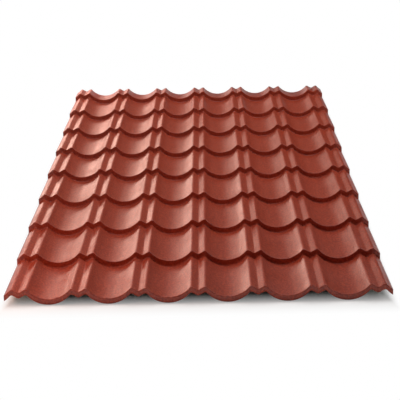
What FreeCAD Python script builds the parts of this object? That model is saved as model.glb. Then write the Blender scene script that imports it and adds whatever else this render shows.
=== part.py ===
import FreeCAD, Part
import math
import os

# Tile effect metal roofing sheet: one sheet of coated steel, roll formed into pans
# and ridge pairs, then pressed into steps that look like courses of tiles.
# Millimetres. X runs across the roof, +Y up its slope from the eaves lip, +Z up.
# The origin is on the floor, under the middle of the sheet.

# Across the sheet.
COVER_WIDTH = 1100.0
PAN_COUNT = 6
RIDGE_SPACING = 42.0
CREST_WIDTH = 4.0
SIDE_FLANK = 24.0
SECTION_DEPTH = 32.0
NOTCH_RADIUS = 5.0
NOTCH_SLOPE = math.radians(30.0)

# Up the sheet.
STEP_LENGTH = 350.0
STEP_COUNT = 8
RISER_HEIGHT = 20.0
LIP_DEPTH = 18.0
TOP_LENGTH = 130.0

SHEET_THICKNESS = 0.5

# Worked out from the sizes above.
PITCH = COVER_WIDTH / PAN_COUNT
SIDE_X = COVER_WIDTH / 2 + RIDGE_SPACING / 2 + SIDE_FLANK
HALF_PAN = (PITCH - RIDGE_SPACING - CREST_WIDTH) / 2
PAN_RADIUS = (HALF_PAN**2 + SECTION_DEPTH**2) / (2 * SECTION_DEPTH)
NOTCH_X = (RIDGE_SPACING - CREST_WIDTH) / 2
NOTCH_Z = SECTION_DEPTH + NOTCH_RADIUS / math.cos(NOTCH_SLOPE) - NOTCH_X * math.tan(NOTCH_SLOPE)
FALL = RISER_HEIGHT / STEP_LENGTH
SHEET_LENGTH = STEP_COUNT * STEP_LENGTH + TOP_LENGTH
TOP_Z = RISER_HEIGHT - FALL * TOP_LENGTH
LIP_Z = RISER_HEIGHT - LIP_DEPTH


def below_centre(centre_x, centre_z, radius, angle):
    """Point of an upward-facing hollow, at an angle from straight down."""
    return FreeCAD.Vector(centre_x + radius * math.sin(angle), 0, centre_z - radius * math.cos(angle))


def hollow(centre_x, centre_z, radius, start, end):
    """Arc edge of a pan or a notch, from its left end to its right end."""
    angles = (start, (start + end) / 2, end)
    left, bottom, right = [below_centre(centre_x, centre_z, radius, angle) for angle in angles]
    return Part.Arc(left, bottom, right).toShape()


def pan_edge(pan_x, inset, left_x, right_x):
    """The pan around pan_x, between two places given from its middle."""
    radius = PAN_RADIUS + inset
    return hollow(pan_x, PAN_RADIUS, radius, math.asin(left_x / radius), math.asin(right_x / radius))


def half_pan(inset):
    """Half the width of a pan, up to the bend at its crest."""
    return math.sqrt((PAN_RADIUS + inset) ** 2 - (PAN_RADIUS + inset - SECTION_DEPTH) ** 2)


def ridge_edges(ridge_x, inset):
    """A ridge pair: two narrow flat crests with a round-bottomed notch between them."""
    crest_z = SECTION_DEPTH - inset
    outer_x = PITCH / 2 - half_pan(inset)
    inner_x = NOTCH_X + inset * math.tan(NOTCH_SLOPE / 2)
    notch = hollow(ridge_x, NOTCH_Z, NOTCH_RADIUS + inset, -NOTCH_SLOPE, NOTCH_SLOPE)
    corners = [
        FreeCAD.Vector(ridge_x - outer_x, 0, crest_z),
        FreeCAD.Vector(ridge_x - inner_x, 0, crest_z),
        notch.firstVertex().Point,
        notch.lastVertex().Point,
        FreeCAD.Vector(ridge_x + inner_x, 0, crest_z),
        FreeCAD.Vector(ridge_x + outer_x, 0, crest_z),
    ]
    left_side = [Part.makeLine(corners[0], corners[1]), Part.makeLine(corners[1], corners[2])]
    right_side = [Part.makeLine(corners[3], corners[4]), Part.makeLine(corners[4], corners[5])]
    return left_side + [notch] + right_side


def section_edges(inset):
    """Edges of the section from left to right, at y = 0, with pan bottoms at z = 0.

    An inset of 0 gives the upper skin, and the sheet's thickness gives the lower skin.
    """
    half = half_pan(inset)
    outer_pan_x = COVER_WIDTH / 2 + PITCH / 2
    flank_x = outer_pan_x - SIDE_X
    edges = [pan_edge(-outer_pan_x, inset, flank_x, half)]
    for ridge in range(PAN_COUNT + 1):
        ridge_x = -COVER_WIDTH / 2 + ridge * PITCH
        edges += ridge_edges(ridge_x, inset)
        if ridge < PAN_COUNT:
            edges.append(pan_edge(ridge_x + PITCH / 2, inset, -half, half))
    edges.append(pan_edge(outer_pan_x, inset, -half, -flank_x))
    return edges


def placed(edges, y, z):
    """The section's edges moved to a place along the sheet."""
    return [edge.translated(FreeCAD.Vector(0, y, z)) for edge in edges]


def swept(edges, start, end):
    """Faces that the section leaves when it moves straight from start to end, each (y, z)."""
    move = FreeCAD.Vector(0, end[0] - start[0], end[1] - start[1])
    return [edge.extrude(move) for edge in placed(edges, *start)]


def band(lower_edges, upper_edges):
    """Flat upright face between two runs of section edges in one plane."""
    left = Part.makeLine(lower_edges[0].firstVertex().Point, upper_edges[0].firstVertex().Point)
    right = Part.makeLine(lower_edges[-1].lastVertex().Point, upper_edges[-1].lastVertex().Point)
    return Part.Face(Part.Wire(lower_edges + [right] + upper_edges[::-1] + [left]))


def skin_faces(edges, shift_y, shift_z):
    """Treads and risers of one skin, without the eaves lip."""
    faces = []
    for step in range(STEP_COUNT + 1):
        nose = (step * STEP_LENGTH + shift_y, RISER_HEIGHT + shift_z)
        foot = ((step + 1) * STEP_LENGTH + shift_y, shift_z)
        if step == STEP_COUNT:
            faces += swept(edges, nose, (SHEET_LENGTH, TOP_Z))
        else:
            faces += swept(edges, nose, foot)
            next_nose_z = RISER_HEIGHT + shift_z
            faces.append(band(placed(edges, *foot), placed(edges, foot[0], next_nose_z)))
    return faces


def lip_faces(upper, lower, shift_z):
    """Front and back of the eaves lip, and its cut edge, which follows the pans."""
    front = band(placed(upper, 0, LIP_Z), placed(upper, 0, RISER_HEIGHT))
    back_top = placed(lower, SHEET_THICKNESS, RISER_HEIGHT + shift_z)
    back = band(placed(upper, SHEET_THICKNESS, LIP_Z), back_top)
    return [front, back] + swept(upper, (0, LIP_Z), (SHEET_THICKNESS, LIP_Z))


def side_path(side_z, shift_y, shift_z):
    """Corners of one skin along a side edge of the sheet, from the first nose to the top end."""
    corners = []
    for step in range(STEP_COUNT + 1):
        y = step * STEP_LENGTH + shift_y
        if step > 0:
            corners.append((y, side_z + shift_z))
        corners.append((y, side_z + shift_z + RISER_HEIGHT))
    corners.append((SHEET_LENGTH, side_z + TOP_Z))
    return corners


def side_face(side_x, upper_z, lower_z, shift_z):
    """The cut edge along one side, with the sheet's thickness between its two skins."""
    above = [(0, upper_z + LIP_Z)] + side_path(upper_z, 0, 0)
    below = [(SHEET_THICKNESS, upper_z + LIP_Z)] + side_path(lower_z, SHEET_THICKNESS, shift_z)
    corners = above + below[::-1]
    points = [FreeCAD.Vector(side_x, y, z) for y, z in corners]
    return Part.Face(Part.makePolygon(points + [points[0]]))


def roofing_sheet():
    """The whole sheet as one solid of even thickness."""
    upper = section_edges(0)
    lower = section_edges(SHEET_THICKNESS)
    shift_z = -FALL * SHEET_THICKNESS
    faces = skin_faces(upper, 0, 0)
    faces += skin_faces(lower, SHEET_THICKNESS, shift_z)
    faces += lip_faces(upper, lower, shift_z)
    faces.append(band(placed(lower, SHEET_LENGTH, TOP_Z), placed(upper, SHEET_LENGTH, TOP_Z)))
    upper_z = upper[0].firstVertex().Point.z
    lower_z = lower[0].firstVertex().Point.z
    for side_x in (-SIDE_X, SIDE_X):
        faces.append(side_face(side_x, upper_z, lower_z, shift_z))
    shell = Part.Shell(faces)
    shell.sewShape()
    sheet = Part.Solid(shell)
    if sheet.Volume < 0:
        sheet.reverse()
    lowest_z = shift_z - SHEET_THICKNESS
    return sheet.translated(FreeCAD.Vector(0, -SHEET_LENGTH / 2, -lowest_z))


def main():
    os.makedirs("parts", exist_ok=True)
    sheet = roofing_sheet()
    sheet.exportStep("parts/roofing_sheet.step")
    box = sheet.BoundBox
    print("roofing_sheet", round(box.XLength, 2), "x", round(box.YLength, 2), "x", round(box.ZLength, 2))
    print("valid", sheet.isValid(), "closed", sheet.isClosed(), "volume", round(sheet.Volume))


main()
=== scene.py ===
"""Looks of a tile effect metal roofing sheet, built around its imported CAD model.

The sheet is pre-painted steel, roll formed into pans and ridge pairs and pressed into
steps. The CAD solid has sharp bends, so this script forms the sheet again with the real
bend radii and dresses its painted top, its back coat and its cut edges.
"""

import logging
import math
from dataclasses import dataclass, field
from enum import IntEnum

import bmesh
import bpy
from mathutils import Matrix, Vector


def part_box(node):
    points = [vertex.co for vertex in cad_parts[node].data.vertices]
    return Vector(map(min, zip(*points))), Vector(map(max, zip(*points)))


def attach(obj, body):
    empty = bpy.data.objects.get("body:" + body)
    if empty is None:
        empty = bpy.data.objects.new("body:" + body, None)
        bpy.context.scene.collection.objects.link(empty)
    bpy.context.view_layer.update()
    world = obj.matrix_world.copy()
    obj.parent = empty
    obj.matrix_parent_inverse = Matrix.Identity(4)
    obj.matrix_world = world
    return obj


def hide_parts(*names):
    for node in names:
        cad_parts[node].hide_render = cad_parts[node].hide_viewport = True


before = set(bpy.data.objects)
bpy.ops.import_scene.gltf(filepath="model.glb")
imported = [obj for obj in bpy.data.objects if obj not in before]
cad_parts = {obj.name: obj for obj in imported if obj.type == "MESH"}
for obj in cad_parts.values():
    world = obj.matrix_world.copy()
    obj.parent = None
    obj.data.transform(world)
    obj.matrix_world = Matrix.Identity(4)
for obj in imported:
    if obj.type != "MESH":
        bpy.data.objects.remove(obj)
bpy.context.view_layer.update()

CAD_NODE = "roofing_sheet"
BODY = "root"
MM = 0.001
SENSOR_MM = 36.0
PAINT_IOR = 1.5
WHITE = "#FFFFFF"
# The boxes that make the highlights are this warm, because the photograph's highlights are salmon.
WARM_WHITE = "#FFCEBC"
# Strength of each finer layer of a noise pattern, against the coarser one before it.
LAYER_SHARE = 0.6

log = logging.getLogger("roofing_sheet")


class SheetFace(IntEnum):
    """Material slots of the sheet."""

    TOP_COAT = 0
    BACK_COAT = 1
    CUT_EDGE = 2


def linear_colour(hex_colour: str) -> tuple[float, float, float, float]:
    """Turns an sRGB hex colour into a linear one.

    Args:
        hex_colour: Six hex digits after a hash sign.

    Returns:
        Linear red, green and blue, and an alpha of 1.
    """
    channels = [int(hex_colour[place : place + 2], 16) / 255 for place in (1, 3, 5)]
    linear = [c / 12.92 if c <= 0.04045 else ((c + 0.055) / 1.055) ** 2.4 for c in channels]
    return (*linear, 1.0)


def add_node(
    tree: bpy.types.NodeTree,
    kind: str,
    settings: dict | None = None,
    links: dict | None = None,
    stops: tuple[tuple[float, str], ...] = (),
) -> bpy.types.Node:
    """Adds a node with its settings, socket values, colour stops and links.

    Args:
        tree: Node tree that takes the node.
        kind: Node type, such as "ShaderNodeBump".
        settings: Attribute names, or names or numbers of input sockets, and their values.
        links: Names or numbers of input sockets, and the output sockets that feed them.
        stops: Positions and sRGB hex colours of a colour ramp, in rising order.

    Returns:
        The new node.
    """
    node = tree.nodes.new(kind)
    for name, value in (settings or {}).items():
        if isinstance(name, int) or name in node.inputs:
            node.inputs[name].default_value = value
        else:
            setattr(node, name, value)
    if stops:
        elements = node.color_ramp.elements
        while len(elements) < len(stops):
            elements.new(stops[1][0])
        for element, (position, colour) in zip(elements, stops):
            element.position = position
            element.color = linear_colour(colour)
    for name, output in (links or {}).items():
        tree.links.new(output, node.inputs[name])
    return node


def new_material(name: str) -> bpy.types.Material:
    """Makes an empty material that uses nodes.

    Args:
        name: Name of the real material and of how its surface was made.

    Returns:
        The material, with no nodes in its tree.
    """
    material = bpy.data.materials.new(name)
    material.use_nodes = True
    material.node_tree.nodes.clear()
    return material


@dataclass(frozen=True)
class GrainedPolyester:
    """Coil-coated polyester paint, baked with a fine wrinkled grain that breaks up highlights."""

    colour: str = "#9A341B"
    pale_colour: str = "#AC4326"
    deep_colour: str = "#852812"
    roughness: float = 0.4
    roughness_spread: float = 0.05
    grain_mm: float = 6.0
    grain_stretch: float = 2.4
    grain_height_mm: float = 0.6
    grain_detail: float = 1.0
    grain_stops: tuple[float, float, float] = (0.3, 0.5, 0.7)
    cloud_mm: float = 160.0
    cloud_detail: float = 3.0
    cloud_range: tuple[float, float] = (0.3, 0.7)

    def build(self) -> bpy.types.Material:
        """Builds the material of the painted top side.

        Returns:
            Paint whose grain is drawn about thirty times coarser than the real 0.2 mm one, and
            longer up the sheet, so that it still shows as a fine speckle at the camera's distance.
        """
        material = new_material("polyester_coil_coated_grained")
        tree = material.node_tree
        place = add_node(tree, "ShaderNodeTexCoord")
        drawn = add_node(
            tree,
            "ShaderNodeMapping",
            {"Scale": (1.0, 1 / self.grain_stretch, 1.0)},
            {"Vector": place.outputs["Object"]},
        )
        grain = add_node(
            tree,
            "ShaderNodeTexNoise",
            {"Scale": 1 / (self.grain_mm * MM), "Detail": self.grain_detail, "Roughness": LAYER_SHARE},
            {"Vector": drawn.outputs["Vector"]},
        )
        cloud = add_node(
            tree,
            "ShaderNodeTexNoise",
            {"Scale": 1 / (self.cloud_mm * MM), "Detail": self.cloud_detail, "Roughness": LAYER_SHARE},
            {"Vector": place.outputs["Object"]},
        )
        # The pigment is a little deeper in the grain's hollows, which gives the speckle in the shade.
        speckle = add_node(
            tree,
            "ShaderNodeValToRGB",
            links={"Fac": grain.outputs["Fac"]},
            stops=tuple(zip(self.grain_stops, (self.deep_colour, self.colour, self.pale_colour))),
        )
        # Slow clouds of gloss, as the oven bakes the coat unevenly, keep the broad highlights alive.
        low, high = self.cloud_range
        gloss = add_node(
            tree,
            "ShaderNodeMapRange",
            {
                "From Min": low,
                "From Max": high,
                "To Min": self.roughness - self.roughness_spread,
                "To Max": self.roughness + self.roughness_spread,
            },
            {"Value": cloud.outputs["Fac"]},
        )
        # The grain is also a relief, which breaks up the edges of the highlights.
        bump = add_node(
            tree,
            "ShaderNodeBump",
            {"Strength": 1.0, "Distance": self.grain_height_mm * MM},
            {"Height": grain.outputs["Fac"]},
        )
        shader = add_node(
            tree,
            "ShaderNodeBsdfPrincipled",
            {"IOR": PAINT_IOR},
            {
                "Base Color": speckle.outputs["Color"],
                "Roughness": gloss.outputs["Result"],
                "Normal": bump.outputs["Normal"],
            },
        )
        add_node(tree, "ShaderNodeOutputMaterial", links={"Surface": shader.outputs["BSDF"]})
        return material


@dataclass(frozen=True)
class BackCoat:
    """Thin grey epoxy primer on the underside, roller coated and matt."""

    pale_colour: str = "#BDBEB8"
    dark_colour: str = "#A9AAA4"
    roughness: float = 0.6
    roller_mm: float = 30.0
    roller_stretch: float = 8.0
    streak_detail: float = 3.0
    streak_stops: tuple[float, float] = (0.35, 0.65)

    def build(self) -> bpy.types.Material:
        """Builds the material of the underside.

        Returns:
            Grey primer with faint streaks up the sheet, the way the coating rollers left it.
        """
        material = new_material("epoxy_back_coat_rolled")
        tree = material.node_tree
        place = add_node(tree, "ShaderNodeTexCoord")
        rolled = add_node(
            tree,
            "ShaderNodeMapping",
            {"Scale": (1.0, 1 / self.roller_stretch, 1.0)},
            {"Vector": place.outputs["Object"]},
        )
        streaks = add_node(
            tree,
            "ShaderNodeTexNoise",
            {"Scale": 1 / (self.roller_mm * MM), "Detail": self.streak_detail, "Roughness": LAYER_SHARE},
            {"Vector": rolled.outputs["Vector"]},
        )
        # Long faint streaks and no shine tell the thin primer from the full paint above.
        primer = add_node(
            tree,
            "ShaderNodeValToRGB",
            links={"Fac": streaks.outputs["Fac"]},
            stops=tuple(zip(self.streak_stops, (self.dark_colour, self.pale_colour))),
        )
        shader = add_node(
            tree,
            "ShaderNodeBsdfPrincipled",
            {"Roughness": self.roughness, "IOR": PAINT_IOR},
            {"Base Color": primer.outputs["Color"]},
        )
        add_node(tree, "ShaderNodeOutputMaterial", links={"Surface": shader.outputs["BSDF"]})
        return material


@dataclass(frozen=True)
class ShearedEdge:
    """Galvanised steel, bare where the sheet was sheared."""

    bright_colour: str = "#B8BAB7"
    dull_colour: str = "#8E908D"
    roughness: float = 0.4
    tear_mm: float = 4.0
    tear_detail: float = 2.0
    tear_stops: tuple[float, float] = (0.4, 0.6)

    def build(self) -> bpy.types.Material:
        """Builds the material of the cut edges.

        Returns:
            Bare metal that changes along the cut between the bright shear band and the dull tear.
        """
        material = new_material("galvanised_steel_sheared")
        tree = material.node_tree
        place = add_node(tree, "ShaderNodeTexCoord")
        tear = add_node(
            tree,
            "ShaderNodeTexNoise",
            {"Scale": 1 / (self.tear_mm * MM), "Detail": self.tear_detail, "Roughness": LAYER_SHARE},
            {"Vector": place.outputs["Object"]},
        )
        # The broken change of grey makes the cut glint in short lengths, as sheared steel does.
        steel = add_node(
            tree,
            "ShaderNodeValToRGB",
            links={"Fac": tear.outputs["Fac"]},
            stops=tuple(zip(self.tear_stops, (self.dull_colour, self.bright_colour))),
        )
        shader = add_node(
            tree,
            "ShaderNodeBsdfPrincipled",
            {"Roughness": self.roughness, "Metallic": 1.0},
            {"Base Color": steel.outputs["Color"]},
        )
        add_node(tree, "ShaderNodeOutputMaterial", links={"Surface": shader.outputs["BSDF"]})
        return material


@dataclass
class RoofingSheet:
    """One sheet of coated steel with pans, ridge pairs and pressed steps, sizes in metres."""

    cover_width: float = 1.100
    pan_count: int = 6
    ridge_spacing: float = 0.042
    section_depth: float = 0.032
    crest_radius: float = 0.008
    notch_radius: float = 0.007
    notch_slope: float = math.radians(30)
    step_length: float = 0.350
    step_count: int = 8
    riser_height: float = 0.020
    lip_depth: float = 0.018
    nose_radius: float = 0.0025
    foot_radius: float = 0.0045
    thickness: float = 0.0005
    pan_steps: int = 20
    bend_steps: int = 5
    top_coat: GrainedPolyester = field(default_factory=GrainedPolyester)
    back_coat: BackCoat = field(default_factory=BackCoat)
    cut_edge: ShearedEdge = field(default_factory=ShearedEdge)

    def __post_init__(self) -> None:
        """Works out the section's centres and angles, and reads the sheet's ends from the frame."""
        low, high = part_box(CAD_NODE)
        self.front_y = low.y
        self.back_y = high.y
        self.side_x = high.x
        self.pitch = self.cover_width / self.pan_count
        half_pan = (self.pitch - self.ridge_spacing) / 2
        depth = self.section_depth
        self.pan_radius = (half_pan**2 + depth**2 - 2 * depth * self.crest_radius) / (2 * depth)
        self.crest_z = depth - self.crest_radius
        self.flank_slope = math.atan2(half_pan, self.pan_radius - self.crest_z)
        rise = (self.crest_radius + self.notch_radius) / math.cos(self.notch_slope)
        self.notch_z = self.crest_z + rise - self.ridge_spacing / 2 * math.tan(self.notch_slope)
        self.fall = self.riser_height / self.step_length
        self.base_z = high.z - depth - self.riser_height

    def bend(
        self, bm: bmesh.types.BMesh, tip: bmesh.types.BMVert, centre: Vector, angle: float, steps: int
    ) -> bmesh.types.BMVert:
        """Carries the section on from its tip along an arc.

        Args:
            bm: Mesh that holds the section.
            tip: Last vertex of the section so far.
            centre: Middle of the arc.
            angle: Turn about +Y in radians, above zero where the sheet bends over a crest.
            steps: Edges along the arc.

        Returns:
            The new last vertex.
        """
        turned = bmesh.ops.spin(
            bm, geom=[tip], cent=centre, axis=(0, 1, 0), angle=angle, steps=steps, use_merge=False
        )
        return next(item for item in turned["geom_last"] if isinstance(item, bmesh.types.BMVert))

    def straight(self, bm: bmesh.types.BMesh, tip: bmesh.types.BMVert, run: Vector) -> bmesh.types.BMVert:
        """Carries the section on from its tip along a straight run.

        Args:
            bm: Mesh that holds the section.
            tip: Last vertex of the section so far.
            run: Way from the tip to the new last vertex.

        Returns:
            The new last vertex.
        """
        moved = bmesh.ops.extrude_vert_indiv(bm, verts=[tip])["verts"]
        bmesh.ops.translate(bm, verts=moved, vec=run)
        return moved[0]

    def ridge_pair(
        self, bm: bmesh.types.BMesh, tip: bmesh.types.BMVert, ridge_x: float
    ) -> bmesh.types.BMVert:
        """Adds two crests and the notch between them to the section.

        Args:
            bm: Mesh that holds the section.
            tip: Last vertex so far, at the foot of the first crest's arc.
            ridge_x: Place of the notch.

        Returns:
            The new last vertex.
        """
        half = self.ridge_spacing / 2
        y = tip.co.y
        turn = self.flank_slope + self.notch_slope
        slope = Vector((math.cos(self.notch_slope), 0, -math.sin(self.notch_slope)))
        side = half / math.cos(self.notch_slope)
        side -= (self.crest_radius + self.notch_radius) * math.tan(self.notch_slope)
        rise = Vector((slope.x, 0, -slope.z))
        tip = self.bend(bm, tip, Vector((ridge_x - half, y, self.crest_z)), turn, self.bend_steps)
        tip = self.straight(bm, tip, slope * side)
        notch = Vector((ridge_x, y, self.notch_z))
        tip = self.bend(bm, tip, notch, -2 * self.notch_slope, self.bend_steps)
        tip = self.straight(bm, tip, rise * side)
        return self.bend(bm, tip, Vector((ridge_x + half, y, self.crest_z)), turn, self.bend_steps)

    def form_section(self, bm: bmesh.types.BMesh) -> None:
        """Forms the section from left to right, with the pan bottoms at z = 0.

        Args:
            bm: Empty mesh that takes the section.
        """
        outer_x = self.cover_width / 2 + self.pitch / 2
        side_angle = math.asin((outer_x - self.side_x) / self.pan_radius)
        side_z = self.pan_radius * (1 - math.cos(side_angle))
        flank = self.flank_slope - side_angle
        flank_steps = round(self.pan_steps * flank / (2 * self.flank_slope))
        tip = bm.verts.new((-self.side_x, self.back_y, side_z))
        tip = self.bend(bm, tip, Vector((-outer_x, self.back_y, self.pan_radius)), -flank, flank_steps)
        for ridge in range(self.pan_count + 1):
            ridge_x = -self.cover_width / 2 + ridge * self.pitch
            tip = self.ridge_pair(bm, tip, ridge_x)
            if ridge < self.pan_count:
                pan = Vector((ridge_x + self.pitch / 2, self.back_y, self.pan_radius))
                tip = self.bend(bm, tip, pan, -2 * self.flank_slope, self.pan_steps)
        self.bend(bm, tip, Vector((outer_x, self.back_y, self.pan_radius)), -flank, flank_steps)

    def press_steps(
        self, bm: bmesh.types.BMesh
    ) -> tuple[list[bmesh.types.BMEdge], list[bmesh.types.BMEdge]]:
        """Draws the section out from the top end to the eaves lip, tread by tread.

        Args:
            bm: Mesh that holds the section's edges.

        Returns:
            The edges along the noses, and the edges along the feet.
        """
        noses = []
        feet = []
        top_length = self.back_y - self.front_y - self.step_count * self.step_length
        start_z = self.base_z + self.riser_height - self.fall * top_length
        bmesh.ops.translate(bm, verts=bm.verts[:], vec=(0, 0, start_z))
        edges = bm.edges[:]
        edges = self.draw_out(bm, edges, -top_length, self.fall * top_length)
        for _ in range(self.step_count):
            noses += edges
            edges = self.draw_out(bm, edges, 0, -self.riser_height)
            feet += edges
            edges = self.draw_out(bm, edges, -self.step_length, self.riser_height)
        noses += edges
        self.draw_out(bm, edges, 0, -self.lip_depth)
        return noses, feet

    def draw_out(
        self, bm: bmesh.types.BMesh, edges: list[bmesh.types.BMEdge], y: float, z: float
    ) -> list[bmesh.types.BMEdge]:
        """Extrudes a row of edges along the sheet.

        Args:
            bm: Mesh that holds the edges.
            edges: Last row of edges.
            y: Run along the sheet.
            z: Rise of that run.

        Returns:
            The new last row of edges.
        """
        drawn = bmesh.ops.extrude_edge_only(bm, edges=edges)["geom"]
        verts = [item for item in drawn if isinstance(item, bmesh.types.BMVert)]
        bmesh.ops.translate(bm, verts=verts, vec=(0, y, z))
        return [item for item in drawn if isinstance(item, bmesh.types.BMEdge)]

    def round_bends(self, bm: bmesh.types.BMesh, edges: list[bmesh.types.BMEdge], radius: float) -> None:
        """Rounds rows of bends.

        Args:
            bm: Mesh of the sheet, still without its thickness.
            edges: Sharp edges along the bends.
            radius: Distance from the sharp edge at which the round bend starts.
        """
        bmesh.ops.bevel(
            bm,
            geom=edges,
            offset=radius,
            offset_type="ABSOLUTE",
            affect="EDGES",
            segments=self.bend_steps,
            profile=0.5,
            material=-1,
            clamp_overlap=True,
        )

    def build(self) -> bpy.types.Object:
        """Forms the sheet and gives it its thickness and finishes.

        Returns:
            The sheet as one object at the origin.
        """
        bm = bmesh.new()
        self.form_section(bm)
        noses, feet = self.press_steps(bm)
        self.round_bends(bm, noses, self.nose_radius)
        feet = [edge for edge in feet if edge.is_valid]
        self.round_bends(bm, feet, self.foot_radius)
        bmesh.ops.recalc_face_normals(bm, faces=bm.faces[:])
        bm.normal_update()
        if sum(face.normal.z * face.calc_area() for face in bm.faces) < 0:
            bmesh.ops.reverse_faces(bm, faces=bm.faces[:])
        for face in bm.faces:
            face.smooth = True
        mesh = bpy.data.meshes.new("coated_sheet")
        bm.to_mesh(mesh)
        bm.free()
        for finish in (self.top_coat, self.back_coat, self.cut_edge):
            mesh.materials.append(finish.build())
        sheet = bpy.data.objects.new("coated_sheet", mesh)
        bpy.context.scene.collection.objects.link(sheet)
        wall = sheet.modifiers.new("sheet_thickness", "SOLIDIFY")
        wall.thickness = self.thickness
        wall.offset = -1
        wall.use_even_offset = True
        wall.material_offset = SheetFace.BACK_COAT
        wall.material_offset_rim = SheetFace.CUT_EDGE
        return sheet

    def place(self) -> bpy.types.Object:
        """Builds the sheet and puts it in the frame in place of the CAD node.

        Returns:
            The sheet as one object.
        """
        sheet = self.build()
        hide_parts(CAD_NODE)
        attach(sheet, BODY)
        return sheet


@dataclass(frozen=True)
class SoftBox:
    """One soft box of the studio, with its place and size in metres and its power in watts."""

    name: str
    spot: tuple[float, float, float]
    aim: tuple[float, float, float]
    width: float
    height: float
    power: float
    colour: str = WHITE

    def build(self) -> None:
        """Hangs the soft box at its spot, turned to what it lights."""
        data = bpy.data.lights.new(self.name, "AREA")
        data.shape = "RECTANGLE"
        data.size = self.width
        data.size_y = self.height
        data.energy = self.power
        data.color = linear_colour(self.colour)[:3]
        lamp = bpy.data.objects.new(self.name, data)
        ray = Vector(self.aim) - Vector(self.spot)
        lamp.matrix_world = Matrix.Translation(self.spot) @ ray.to_track_quat("-Z", "Y").to_matrix().to_4x4()
        lamp.visible_camera = False
        bpy.context.scene.collection.objects.link(lamp)


# Two large white boxes light the sheet from above at a plain level. The others stand lower, mostly
# behind it, so that the treads mirror them at the camera's flat angle.
SOFT_BOXES = (
    SoftBox("overhead", (0.0, 0.5, 4.0), (0.0, 0.5, 0.0), 4.0, 4.0, 125.0),
    SoftBox("right_overhead", (3.0, 0.5, 2.5), (0.0, 0.0, 0.0), 3.0, 1.5, 36.0),
    SoftBox("left_front", (-0.95, -1.5, 0.6), (0.0, -1.0, 0.0), 1.0, 0.4, 5.0, WARM_WHITE),
    SoftBox("left_rear", (-1.6, 1.8, 0.3), (-0.3, 0.5, 0.0), 1.0, 0.4, 11.0, WARM_WHITE),
    SoftBox("rear_left", (-1.0, 2.0, 0.5), (-0.4, 0.0, 0.0), 0.5, 0.3, 4.4, WARM_WHITE),
    SoftBox("rear_near", (-0.7, 2.4, 0.35), (-0.4, 0.0, 0.0), 0.5, 0.3, 1.7, WARM_WHITE),
    SoftBox("rear_high", (-0.8, 2.6, 1.3), (0.0, 0.0, 0.0), 1.5, 0.6, 5.8, WARM_WHITE),
    SoftBox("rear_low", (-1.9, 5.0, 0.35), (-0.5, 0.0, 0.0), 0.8, 0.4, 6.0, WARM_WHITE),
    SoftBox("rear_wide", (0.0, 7.0, 1.5), (0.0, 0.0, 0.0), 4.0, 1.0, 4.6, WARM_WHITE),
    SoftBox("rear_far", (-1.9, 12.0, 1.4), (-0.5, 0.0, 0.0), 1.6, 1.6, 25.0, WARM_WHITE),
)


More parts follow.
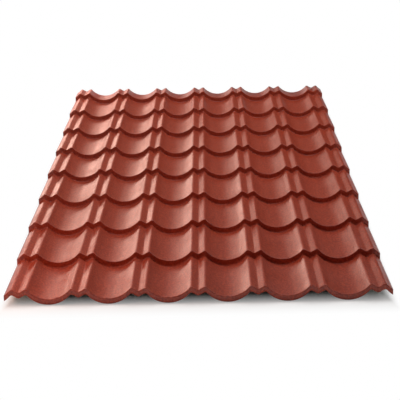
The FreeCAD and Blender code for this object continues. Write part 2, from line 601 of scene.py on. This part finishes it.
@dataclass
class Studio:
    """Pale floor, weak even surroundings, soft boxes and the camera."""

    lens_mm: float = 136.5
    camera_mm: tuple[float, float, float] = (31.6, -5829.8, 1607.4)
    camera_turn_deg: float = 0.28
    camera_tilt_deg: float = 16.33
    camera_roll_deg: float = 1.05
    floor_colour: str = "#F4F4F2"
    floor_roughness: float = 0.9
    floor_size: float = 120.0
    side_shadow: tuple[float, float] = (0.03, 0.02)
    front_shadow: tuple[float, float] = (0.09, 0.125)
    sky_strength: float = 0.04
    soft_boxes: tuple[SoftBox, ...] = SOFT_BOXES

    def build_camera(self) -> None:
        """Makes the camera at the photograph's viewing angle."""
        data = bpy.data.cameras.new("camera")
        data.sensor_width = SENSOR_MM
        data.lens = self.lens_mm
        camera = bpy.data.objects.new("camera", data)
        turn = Matrix.Rotation(math.radians(self.camera_turn_deg), 4, "Z")
        tilt = Matrix.Rotation(math.radians(90 - self.camera_tilt_deg), 4, "X")
        roll = Matrix.Rotation(math.radians(-self.camera_roll_deg), 4, "Z")
        spot = Matrix.Translation(Vector(self.camera_mm) * MM)
        camera.matrix_world = spot @ turn @ tilt @ roll
        bpy.context.scene.collection.objects.link(camera)
        bpy.context.scene.camera = camera

    def build_floor(self) -> None:
        """Lays a plain pale floor under the sheet."""
        bm = bmesh.new()
        bmesh.ops.create_grid(bm, x_segments=1, y_segments=1, size=self.floor_size / 2)
        mesh = bpy.data.meshes.new("floor")
        bm.to_mesh(mesh)
        bm.free()
        floor = bpy.data.objects.new("floor", mesh)
        bpy.context.scene.collection.objects.link(floor)
        material = new_material("studio_floor_matt_paint")
        tree = material.node_tree
        paint = add_node(
            tree,
            "ShaderNodeBsdfPrincipled",
            {"Base Color": linear_colour(self.floor_colour), "Roughness": self.floor_roughness},
        )
        white = add_node(tree, "ShaderNodeEmission", {"Color": linear_colour(WHITE), "Strength": 1.0})
        mix = add_node(
            tree,
            "ShaderNodeMixShader",
            links={"Fac": self.far_and_seen(tree), 1: paint.outputs["BSDF"], 2: white.outputs["Emission"]},
        )
        add_node(tree, "ShaderNodeOutputMaterial", links={"Surface": mix.outputs["Shader"]})
        mesh.materials.append(material)

    def far_and_seen(self, tree: bpy.types.NodeTree) -> bpy.types.NodeSocket:
        """Finds where the floor shows as plain white.

        Args:
            tree: Node tree of the floor's material.

        Returns:
            1 for seen or mirrored floor outside the sheet's shadow, and 0 under the sheet.
        """
        low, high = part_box(CAD_NODE)
        place = add_node(tree, "ShaderNodeTexCoord")
        parts = add_node(tree, "ShaderNodeSeparateXYZ", links={"Vector": place.outputs["Object"]})
        across = add_node(tree, "ShaderNodeMath", {"operation": "ABSOLUTE"}, {0: parts.outputs["X"]})
        side_inner, side_outer = self.side_shadow
        front_inner, front_outer = self.front_shadow
        fades = []
        # Beside, behind and before the sheet, each from inside its shadow out to the plain white.
        for value, start, end in (
            (across.outputs["Value"], high.x - side_inner, high.x + side_outer),
            (parts.outputs["Y"], high.y - side_inner, high.y + side_outer),
            (parts.outputs["Y"], low.y + front_inner, low.y - front_outer),
        ):
            settings = {"interpolation_type": "SMOOTHSTEP", "From Min": start, "From Max": end}
            fade = add_node(tree, "ShaderNodeMapRange", settings, {"Value": value})
            fades.append(fade.outputs["Result"])
        far = fades[0]
        for fade in fades[1:]:
            either = {0: far, 1: fade}
            far = add_node(tree, "ShaderNodeMath", {"operation": "MAXIMUM"}, either).outputs["Value"]
        rays = add_node(tree, "ShaderNodeLightPath")
        seen = rays.outputs["Is Camera Ray"]
        for ray in ("Is Glossy Ray", "Is Transmission Ray"):
            either = {0: seen, 1: rays.outputs[ray]}
            seen = add_node(tree, "ShaderNodeMath", {"operation": "MAXIMUM"}, either).outputs["Value"]
        both = {0: far, 1: seen}
        return add_node(tree, "ShaderNodeMath", {"operation": "MULTIPLY"}, both).outputs["Value"]

    def build_surroundings(self) -> None:
        """Fills the shadows with a weak even light, since a stronger one veils the coat at flat angles."""
        world = bpy.data.worlds.new("studio")
        world.use_nodes = True
        tree = world.node_tree
        tree.nodes.clear()
        light = {"Color": linear_colour(WHITE), "Strength": self.sky_strength}
        sky = add_node(tree, "ShaderNodeBackground", light)
        add_node(tree, "ShaderNodeOutputWorld", links={"Surface": sky.outputs["Background"]})
        bpy.context.scene.world = world

    def build(self) -> None:
        """Sets up the whole studio."""
        self.build_camera()
        self.build_floor()
        self.build_surroundings()
        for box in self.soft_boxes:
            box.build()
        bpy.context.scene.view_settings.view_transform = "Standard"


def main() -> None:
    """Builds the studio and the sheet, and reports each piece."""
    logging.basicConfig(level=logging.INFO, format="%(name)s: %(message)s")
    Studio().build()
    log.info("studio ready")
    sheet = RoofingSheet().place()
    log.info("%s: %d faces before its thickness", sheet.name, len(sheet.data.polygons))


if __name__ == "__main__":
    main()
